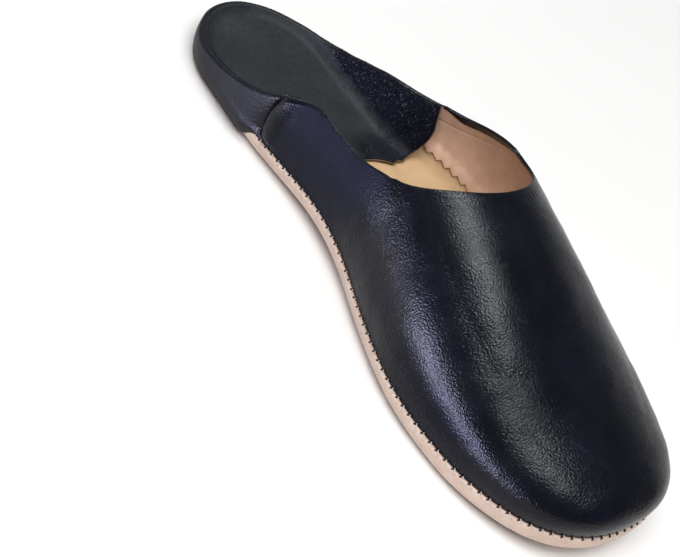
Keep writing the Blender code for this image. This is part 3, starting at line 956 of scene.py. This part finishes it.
def build_floor():
    corners = [(x * FLOOR_HALF, y * FLOOR_HALF, 0) for x, y in ((-1, -1), (1, -1), (1, 1), (-1, 1))]
    mesh = bpy.data.meshes.new("floor")
    mesh.from_pydata(corners, [], [(0, 1, 2, 3)])
    mesh.materials.append(new_material(floor_paint))
    add_object("floor", mesh)


def build_light():
    world = bpy.data.worlds.new("studio")
    world.use_nodes = True
    background = world.node_tree.nodes["Background"]
    background.inputs["Color"].default_value = WORLD_COLOUR
    background.inputs["Strength"].default_value = WORLD_STRENGTH
    bpy.context.scene.world = world
    bpy.context.scene.view_settings.view_transform = "Standard"
    for lamp in GLOSS_LAMPS:
        area_light(*lamp).visible_diffuse = False
    area_light(*FILL_LAMP).visible_glossy = False


# The upper


def skin(lines):
    """Quads between each line of vertices and the next."""
    return [(a, b, d, c) for here, after in zip(lines[:-1], lines[1:])
            for a, b, c, d in zip(here[:-1], here[1:], after[:-1], after[1:])]


def column_of(values, i):
    """The part of a list over the wall's vertices that belongs to one column."""
    return values[i * ROW_COUNT:(i + 1) * ROW_COUNT]


def read_column(column, normals, run, at):
    """Point and unit normal at a distance along a column."""
    point, normal = [np.array([np.interp(at, run, rows[:, c]) for c in range(3)])
                     for rows in (column, normals)]
    return point, normal / np.linalg.norm(normal)


def wall_grid(shoe):
    """Vamp, sides and heel: a column of vertices for each place on the sole's edge."""
    vertices = []
    for i, (base, normal) in enumerate(zip(shoe.loop, shoe.normals)):
        if shoe.near(i) < shoe.side_start:
            vertices += vamp_column(base, normal, shoe.turn(i))
        else:
            vertices += wall_column(base, normal, shoe.near(i) >= shoe.fold_start)
    numbers = range(len(vertices))
    return vertices, skin([column_of(numbers, i % shoe.count) for i in range(shoe.count + 1)])


def add_flap(shoe, vertices, faces):
    """The flap: columns down from the fold, and lines across its flat middle."""
    columns = {}
    for i in range(shoe.fold_start, shoe.count - shoe.fold_start + 1):
        top = i * ROW_COUNT + WALL_ROWS
        added = flap_column(shoe.loop[i], shoe.normals[i], vertices[top])
        columns[i] = [top, *range(len(vertices), len(vertices) + len(added))]
        vertices += added
    faces += skin(list(columns.values()))
    lines = []
    for i in range(shoe.fold_start, shoe.half):
        a, b = columns[i][-1], columns[shoe.count - i][-1]
        pa, pb = np.array(vertices[a]), np.array(vertices[b])
        near_edge = near_flap_edge(shoe.loop[i][1])
        ends = read_points(FLAP_EDGE, pa[0]), read_points(FLAP_EDGE, pb[0])
        lines.append([a, *range(len(vertices), len(vertices) + FLAP_ACROSS - 1), b])
        for m in range(1, FLAP_ACROSS):
            x, y, z = pa + (pb - pa) * m / FLAP_ACROSS
            already = ends[0] + (ends[1] - ends[0]) * m / FLAP_ACROSS
            vertices.append((x, y + (read_points(FLAP_EDGE, x) - already) * near_edge, z))
    heel = columns[shoe.half][-1]
    faces += skin(lines)
    faces += [(a, b, heel) for a, b in zip(lines[-1][:-1], lines[-1][1:])]
    return columns, lines


def press_marks(shoe, points, out):
    """Soft troughs, ridges and waves all over, and crinkles where the flap climbs the outer wall."""
    wall_total = shoe.count * ROW_COUNT
    row = np.arange(wall_total) % ROW_COUNT
    column = np.arange(wall_total) // ROW_COUNT
    open_edge = np.minimum(column, shoe.count - column) < shoe.fold_start
    fade = np.ones(len(points))
    fade[:wall_total] = ramp(row, 0.0, MARK_FOOT_ROWS)
    fade[:wall_total] *= np.where(open_edge, ramp(row, WALL_ROWS, -MARK_RIM_ROWS), 1.0)
    soft = sum(waves(points, *wave) for wave in SOFT_WAVES)
    points = points + out * ((soft * fade - fold_depths(points) * fade)[:, None])
    flap = np.arange(len(points)) >= wall_total
    crinkled = np.zeros(len(points))
    crinkled[flap] = gloss_share(points[flap])
    raised = waves(points, *CRINKLE_WAVES) * crinkled + waves(points, *FLAP_WAVES) * flap
    return points + out * raised[:, None]


def press_pleats(shoe, points, out):
    """Short pleats that run down from the front of the collar."""
    pleat = np.zeros(len(points))
    for i in range(shoe.count):
        if shoe.near(i) >= shoe.side_start:
            continue
        outwards = shoe.loop[i][2] * shoe.turn(i)
        phase = -outwards * PLEAT_PACE
        strength = math.exp(-((outwards - PLEAT_MIDDLE) / PLEAT_SPREAD) ** 2)
        strength *= 0.5 + 0.8 * wander(phase * 0.31, 4.2)
        wave = math.sin(phase * 2.0 + 1.4 * wander(phase * 0.6, 1.7))
        for k in range(PLEAT_ROWS + 1):
            down = math.sin(math.pi * min(k / PLEAT_ROWS * 1.25 + 0.12, 1.0))
            pleat[i * ROW_COUNT + WALL_ROWS - k] = wave * strength * down
    return points + out * (pleat * PLEAT_DEPTH)[:, None]


def add_hem(shoe, points, out, vertices, faces):
    """The collar's leather, turned over its edge and stuck down inside."""
    end = shoe.fold_start - 1
    lines = {}
    for i in range(shoe.count):
        near = shoe.near(i)
        if near > end:
            continue
        column, normals = column_of(points, i)[::-1], column_of(out, i)[::-1]
        run = run_along(column)
        normal = normals[0]
        tangent = column[0] - column[2]
        tangent -= normal * (tangent @ normal)
        tangent /= np.linalg.norm(tangent)
        grown = smooth_step(min(near / shoe.side_start, 1.0) * HEM_GROW - HEM_GROW_FROM)
        taper = grown * ease(near, end, -HEM_END_COLUMNS)
        width = HEM_NARROW + (HEM_WIDTH - HEM_NARROW) * taper + HEM_RAGGED * wander(i * 0.23, 7.7)
        added = []
        for k in range(1, HEM_TURN_STEPS + 1):
            angle = math.pi * k / HEM_TURN_STEPS
            around = normal * math.cos(angle) + tangent * math.sin(angle)
            added.append(column[0] - normal * HEM_RADIUS + HEM_RADIUS * around)
        for k in range(1, HEM_ROWS + 1):
            at, inward = read_column(column, normals, run, width * k / HEM_ROWS)
            added.append(at - inward * 2.0 * HEM_RADIUS)
        lines[i] = [i * ROW_COUNT + WALL_ROWS, *range(len(vertices), len(vertices) + len(added))]
        vertices += added
    faces += skin([lines[i] for i in shoe.front(end)])


def leather_shares(shoe, vertices, columns, lines):
    """A number per vertex for the leather's trodden, crinkled and creased places, and for the painted shade
    that dims its reflections.
    """
    flap = np.zeros(len(vertices), dtype=bool)
    for column in columns.values():
        flap[column[2:]] = True
    for line in lines:
        flap[line] = True
    glossy = gloss_share(np.array(vertices))
    creased = np.zeros(len(vertices))
    reflection_shade = np.zeros(len(vertices))
    for i, (_, s, _) in enumerate(shoe.loop):
        satin = HEEL_SATIN * ease(s, *SATIN_FROM)
        if i > shoe.half:
            column_of(creased, i)[:] = satin
            continue
        dull = WAIST_DULL * ease(s, *WAIST_FROM) * ease(s, *WAIST_TO)
        for v in range(i * ROW_COUNT, (i + 1) * ROW_COUNT):
            height = vertices[v][2] - edge_height(s) - CLEARANCE
            offset = s - read_points(CREASE_LINE, height)
            groove = math.exp(-((offset - GROOVE_AT) / GROOVE_WIDTH) ** 2) * ease(height, *GROOVE_FOOT)
            creased[v] = max(groove, dull, satin)
            # Painted shade in the reflections on the inner side: on the waist up to the crease, and low on
            # the wall from near the toe
            low = ease(s, *REFLECTION_SHADE_TOE) * (1.0 - ease(height, *REFLECTION_SHADE_LOW))
            reflection_shade[v] = max(ease(s, *REFLECTION_SHADE_WAIST), low) * ease(s, *REFLECTION_SHADE_END)
    return {"creased": creased, "reflection_shade": reflection_shade, "trodden": np.where(flap, 1.0 - glossy, 0.0),
            "crinkled": np.where(flap, glossy, 0.0)}


def build_lining(shoe, points, out, edge):
    """The lining, just inside the leather, with a pinked lower edge: one tooth on three columns."""
    vertices, lines = [], []
    for i in shoe.front(shoe.fold_start + LINING_UNDER_FLAP):
        column, normals = column_of(points, i), column_of(out, i)
        run = run_along(column)
        tooth = TOOTH_DEPTH * TOOTH_SHAPE[i % len(TOOTH_SHAPE)]
        start = skirt_drop(shoe.loop[i][1]) + TOOTH_FOOT + tooth
        end = run[-1] - LINING_TOP_GAP
        emboss = EMBOSS_DEPTH if shoe.near(i) < shoe.fold_start else 0.0
        lines.append(range(len(vertices), len(vertices) + LINING_ROWS + 1))
        for k in range(LINING_ROWS + 1):
            up = start + (end - start) * k / LINING_ROWS
            at, inward = read_column(column, normals, run, up)
            foot = LINING_FOOT_IN * (1.0 - ease(up - start, *LINING_FOOT))
            groove = emboss * math.exp(-((run[-1] - up - EMBOSS_AT) / EMBOSS_WIDTH) ** 2)
            vertices.append(at - inward * (LINING_FROM + foot - groove))
    lining = make_piece("upper_lining", vertices, skin(lines), new_material(lining_leather))
    # The rim takes the dark brown edge, which also paints the shadow line along the lining's teeth over the
    # insole
    lining.data.materials.append(edge)
    thicken(lining, LINING).material_offset_rim = 1


def build_flap_edge(shoe, points, out, columns, lines, edge):
    """The flap's raw front edge, where the brown lining under it shows."""
    inner, outer = columns[shoe.fold_start], columns[shoe.count - shoe.fold_start]
    path = []
    for n, v in enumerate(inner[2:] + lines[0][1:-1] + outer[:1:-1]):
        ahead = -FLAP_EDGE_AHEAD + FLAP_EDGE_WOBBLE * wander(n * 0.37, 2.2, 5.1)
        path.append(points[v] - out[v] * FLAP_EDGE_UNDER + np.array((0.0, ahead, 0.0)))
    vertices, faces = tube_mesh([path], FLAP_EDGE_RADIUS, FLAP_EDGE_SIDES)
    make_piece("flap_raw_edge", vertices, faces, edge)


def build_upper(shoe):
    vertices, faces = wall_grid(shoe)
    columns, lines = add_flap(shoe, vertices, faces)
    points = np.array(vertices)
    out = grid_normals(points, faces)
    points = press_pleats(shoe, press_marks(shoe, points, out), out)
    out = grid_normals(points, faces)
    vertices = list(points)
    add_hem(shoe, points, out, vertices, faces)
    upper = make_piece("upper_shell", vertices, faces, new_material(upper_leather), "upper")
    for name, values in leather_shares(shoe, vertices, columns, lines).items():
        made = upper.data.attributes.new(name, "FLOAT", "POINT")
        made.data.foreach_set("value", values.astype(np.float32))
    thicken(upper, LEATHER)
    edge = new_material(raw_edge_and_shade)
    build_lining(shoe, points, out, edge)
    build_flap_edge(shoe, points, out, columns, lines, edge)


# Sole, insole and stitches


def inset_ring(shoe, inset, height):
    """The outline, drawn in and raised above the sole's underside. Both may differ by column."""
    insets, heights = [np.broadcast_to(values, shoe.count) for values in (inset, height)]
    ring = []
    for (x, s, _), (nx, ns), inward, up in zip(shoe.loop, shoe.normals, insets, heights):
        new_s = s - ns * inward
        ring.append(place(x - nx * inward, new_s, lift(new_s) + up))
    return ring


def quarter_turn(steps):
    """Sine and cosine of the angles of a rounded edge, from straight down or from the side."""
    angles = [math.pi / 2.0 * k / steps for k in range(steps + 1)]
    return [(math.sin(angle), math.cos(angle)) for angle in angles]


def ring_piece(name, rings, material, replaced):
    """A solid through a stack of rings, closed by strips across its first and last."""
    count = len(rings[0])
    half = count // 2
    vertices = [point for ring in rings for point in ring]
    faces = []
    for k in range(len(rings) - 1):
        low, high = k * count, (k + 1) * count
        for i in range(count):
            j = (i + 1) % count
            faces.append((low + i, high + i, high + j, low + j))
    for first, upward in ((0, False), ((len(rings) - 1) * count, True)):
        left = [first + i for i in range(half + 1)]
        right = [first + (count - i) % count for i in range(half + 1)]
        for i in range(half):
            face = [left[i], right[i], right[i + 1], left[i + 1]]
            face = [v for n, v in enumerate(face) if v not in face[:n]]
            faces.append(tuple(face) if upward else tuple(reversed(face)))
    make_piece(name, vertices, faces, material, replaced, smooth_angle=40.0)


def build_sole(shoe):
    radius = np.array([edge_radius(s) for _, s, _ in shoe.loop])
    rings = [inset_ring(shoe, radius * (1.0 - sine), radius * (1.0 - cosine))
             for sine, cosine in quarter_turn(SOLE_EDGE_STEPS)]
    rings.append(inset_ring(shoe, 0.0, SOLE_HEIGHT - SOLE_TOP_FLAT))
    rings += [inset_ring(shoe, SOLE_TOP_RADIUS * (1.0 - cosine), SOLE_HEIGHT - SOLE_TOP_RADIUS * (1.0 - sine))
              for sine, cosine in quarter_turn(SOLE_TOP_STEPS)[1:]]
    rings.append(inset_ring(shoe, SOLE_RECESS_AT, SOLE_HEIGHT))
    rings.append(inset_ring(shoe, SOLE_RECESS_AT, SOLE_HEIGHT - SOLE_RECESS))
    ring_piece("sole", rings, new_material(sole_leather), "outsole")


def build_insole(shoe):
    rings = []
    for inset, height in INSOLE_PROFILE:
        ring = []
        for x, y, z in inset_ring(shoe, inset, SOLE_HEIGHT):
            low = ease(y + LENGTH / 2.0, *INSOLE_LOW_FROM)
            ring.append((x, y, z + (height * (1.0 - INSOLE_LOW_LOSS * low) if height > 0.0 else height)))
        rings.append(ring)
    ring_piece("insole_cover", rings, new_material(insole_leather), "insole")


def tube_mesh(paths, radius, sides=TUBE_SIDES):
    """Thread segments along short paths, each a closed tube that narrows at its ends."""
    vertices, faces = [], []
    for path in paths:
        path = np.array(path)
        last = len(path) - 1
        start = len(vertices)
        for k, p in enumerate(path):
            along = path[min(k + 1, last)] - path[max(k - 1, 0)]
            along = along / np.linalg.norm(along)
            side = np.cross(along, (0.0, 0.0, 1.0))
            side /= max(np.linalg.norm(side), 1e-9)
            other = np.cross(along, side)
            size = radius * (TUBE_END if k in (0, last) else 1.0)
            for m in range(sides):
                angle = 2.0 * math.pi * m / sides
                vertices.append(p + size * (math.cos(angle) * side + math.sin(angle) * other))
        for k in range(last):
            for m in range(sides):
                a, b = start + k * sides + m, start + k * sides + (m + 1) % sides
                faces.append((a, b, b + sides, a + sides))
        faces.append(tuple(start + m for m in reversed(range(sides))))
        faces.append(tuple(start + last * sides + m for m in range(sides)))
    return vertices, faces


def build_stitches(shoe):
    loop, normals, run = shoe.loop, shoe.normals, shoe.run
    total = run[-1] + math.dist(loop[-1][:2], loop[0][:2])
    steps = int(total / STITCH_PITCH)

    def seam_point(distance, inset, height):
        """Place by the distance around the outline, the inset and the height over the sole."""
        distance = distance % total
        i = min(int(np.searchsorted(run, distance, "right")) - 1, shoe.count - 1)
        j = (i + 1) % shoe.count
        t = (distance - run[i]) / ((run[j] if j else total) - run[i])
        x, s = [loop[i][c] * (1 - t) + loop[j][c] * t for c in range(2)]
        nx, ns = [normals[i][c] * (1 - t) + normals[j][c] * t for c in range(2)]
        s -= ns * inset
        return place(x - nx * inset, s, lift(s) + (SOLE_HEIGHT + height))

    threads, holes = [], []
    for n in range(steps):
        at = total * n / steps + STITCH_WANDER * wander(n * 0.61, 3.3)
        lean = STITCH_LEAN + STITCH_LEAN_WANDER * wander(n * 0.87, 9.1)
        threads.append([seam_point(at + lean * share, inset, up) for share, inset, up in STITCH_PATH])
        holes.append([seam_point(at + lean + ahead, inset, up) for ahead, inset, up in HOLE_PATH])
    vertices, faces = tube_mesh(threads, STITCH_RADIUS)
    make_piece("whip_stitches", vertices, faces, new_material(thread))
    # Near-black tubes at the holes: painted shade inside them
    vertices, faces = tube_mesh(holes, HOLE_RADIUS)
    make_piece("stitch_holes", vertices, faces, new_material(stitch_hole_shade))


build_camera()
build_floor()
build_light()
shoe = Shoe(station_list(STATIONS))
build_upper(shoe)
build_sole(shoe)
build_insole(shoe)
build_stitches(shoe)
